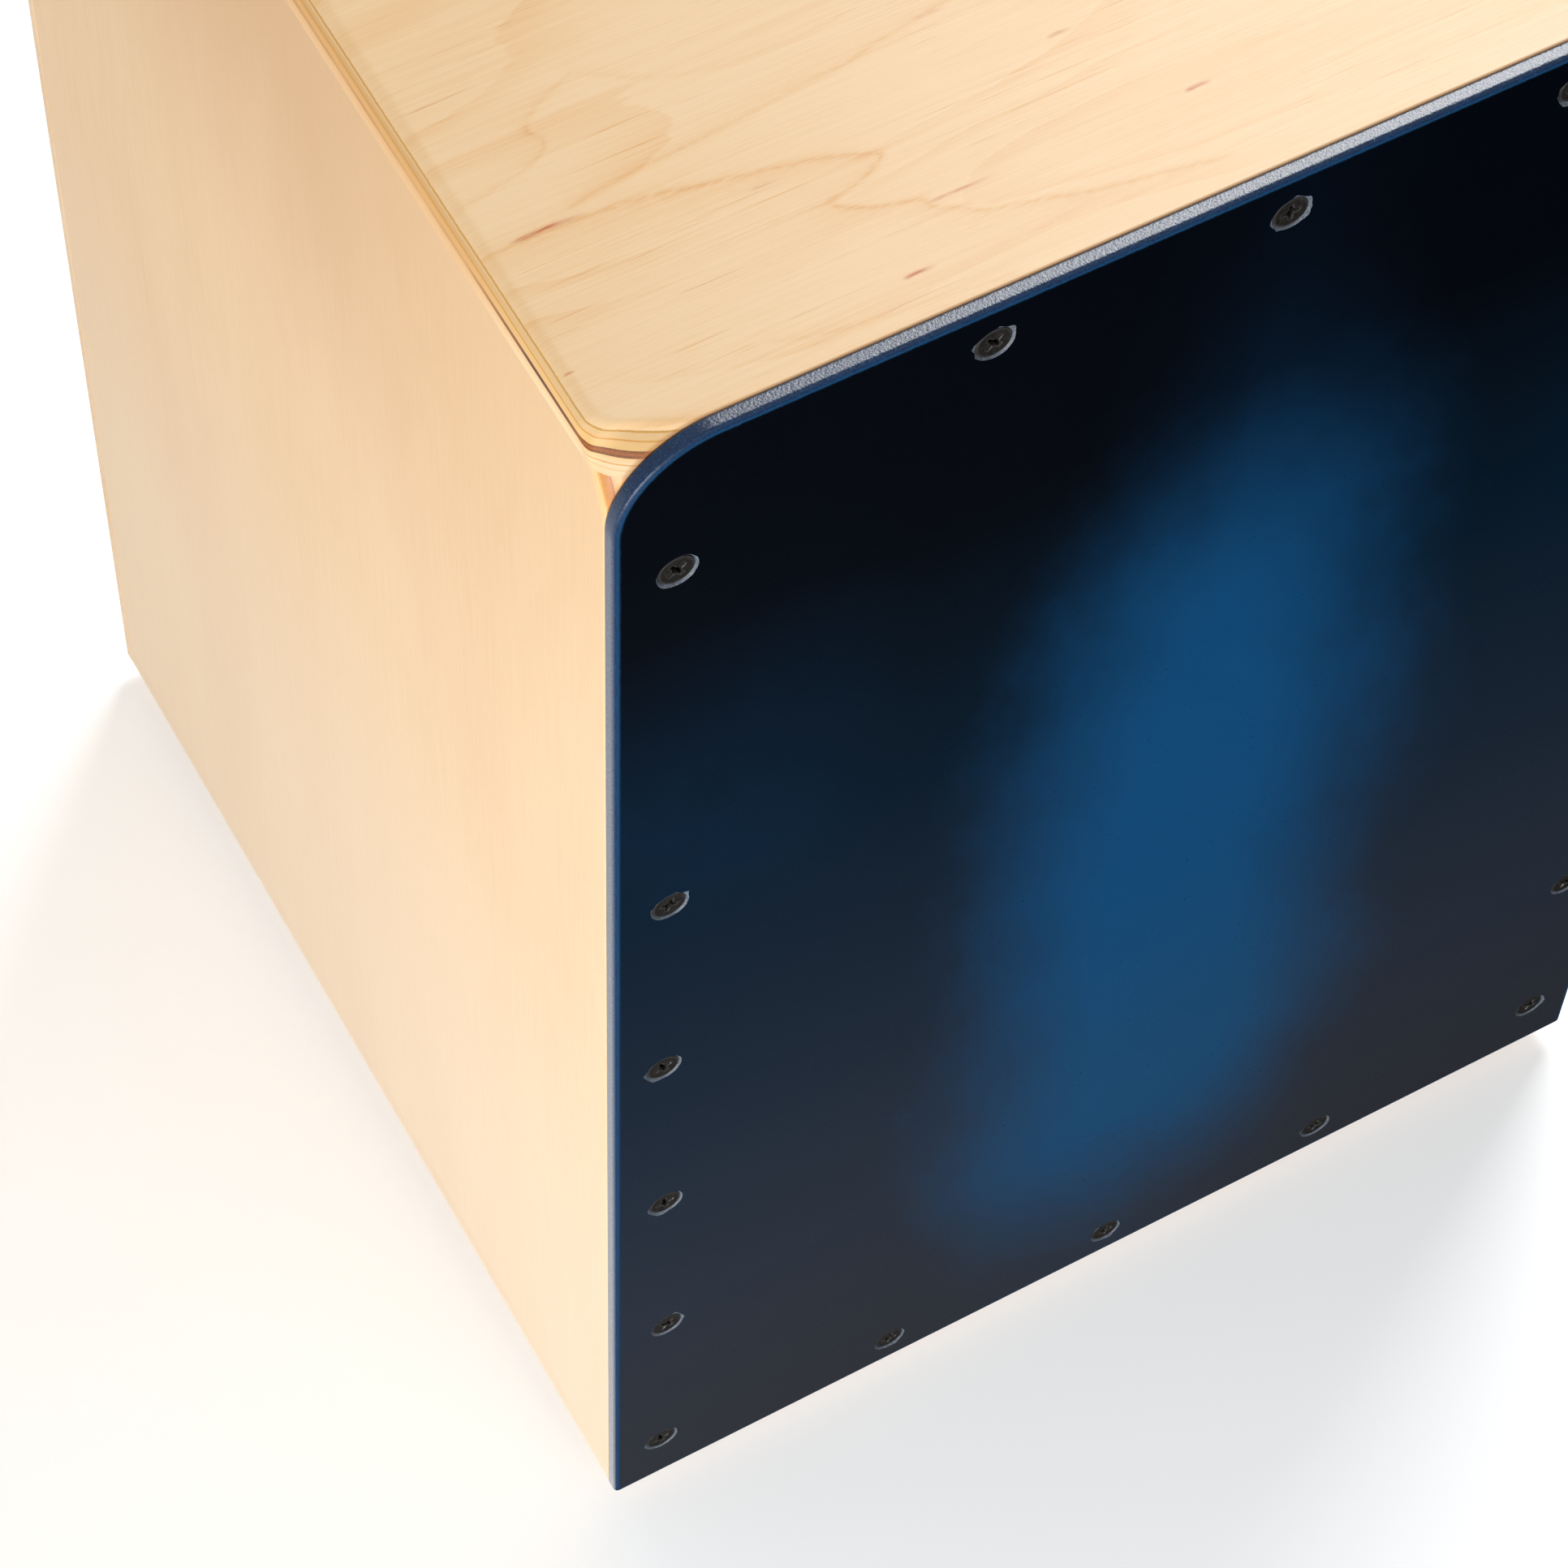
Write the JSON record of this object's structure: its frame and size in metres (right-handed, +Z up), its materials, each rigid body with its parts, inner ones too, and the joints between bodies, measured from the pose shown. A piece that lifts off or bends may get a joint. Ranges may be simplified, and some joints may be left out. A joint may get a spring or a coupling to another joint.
{
  "type": "cajon",
  "caption": "Plywood box drum with a rounded, screwed-on playing plate, a sound hole at the back, inner snare wires and rubber feet; the top corner screws back out.",
  "frame": {"origin": "on the floor, under the centre of the box", "axes": "+Z up, the blue playing plate faces -Y, +X is to the right for someone looking at that plate"},
  "size_m": [0.3, 0.3, 0.473],
  "materials": {
    "burst_lacquer": "satin blue-to-black burst lacquer over a thin wooden plate, edges sprayed with a fine texture",
    "seat_birch": "clear satin lacquer on pale birch-faced plywood, plies showing at the rounded edges",
    "shell_birch": "clear satin lacquer on pale birch-faced plywood",
    "back_birch": "clear satin lacquer on thin birch plywood",
    "inner_wood": "bare planed softwood",
    "black_screw_steel": "black-oxide steel, worn at the recess",
    "snare_steel": "bright coiled steel wire",
    "foot_rubber": "matte moulded rubber"
  },
  "bodies": {
    "box": {"back_plate": "back_birch", "back_plate_screws": "black_screw_steel", "bottom_plate": "shell_birch", "foot_screws": "black_screw_steel", "front_bottom_batten": "inner_wood", "front_left_batten": "inner_wood", "front_left_foot": "foot_rubber", "front_plate": "burst_lacquer", "front_plate_screws": "black_screw_steel", "front_right_batten": "inner_wood", "front_right_foot": "foot_rubber", "front_top_batten": "inner_wood", "left_side_panel": "shell_birch", "left_snare_block": "inner_wood", "left_snare_clip_plate": "snare_steel", "left_snare_end_strip": "snare_steel", "left_snare_wires": "snare_steel", "rear_bottom_batten": "inner_wood", "rear_left_batten": "inner_wood", "rear_left_foot": "foot_rubber", "rear_right_batten": "inner_wood", "rear_right_foot": "foot_rubber", "rear_top_batten": "inner_wood", "right_side_panel": "shell_birch", "right_snare_block": "inner_wood", "right_snare_clip_plate": "snare_steel", "right_snare_end_strip": "snare_steel", "right_snare_wires": "snare_steel", "snare_bar": "inner_wood", "snare_bar_screws": "black_screw_steel", "snare_clip_screws": "black_screw_steel", "top_plate": "seat_birch"},
    "left_tuning_screw": {"left_corner_screw": "black_screw_steel"},
    "right_tuning_screw": {"right_corner_screw": "black_screw_steel"}
  },
  "joints": [
    {"name": "left_corner_back_out", "type": "slide", "parent": "box", "child": "left_tuning_screw", "axis": [0, -1, 0], "range_m": [0, 0.0036]},
    {"name": "right_corner_back_out", "type": "slide", "parent": "box", "child": "right_tuning_screw", "axis": [0, -1, 0], "range_m": [0, 0.0036]}
  ]
}
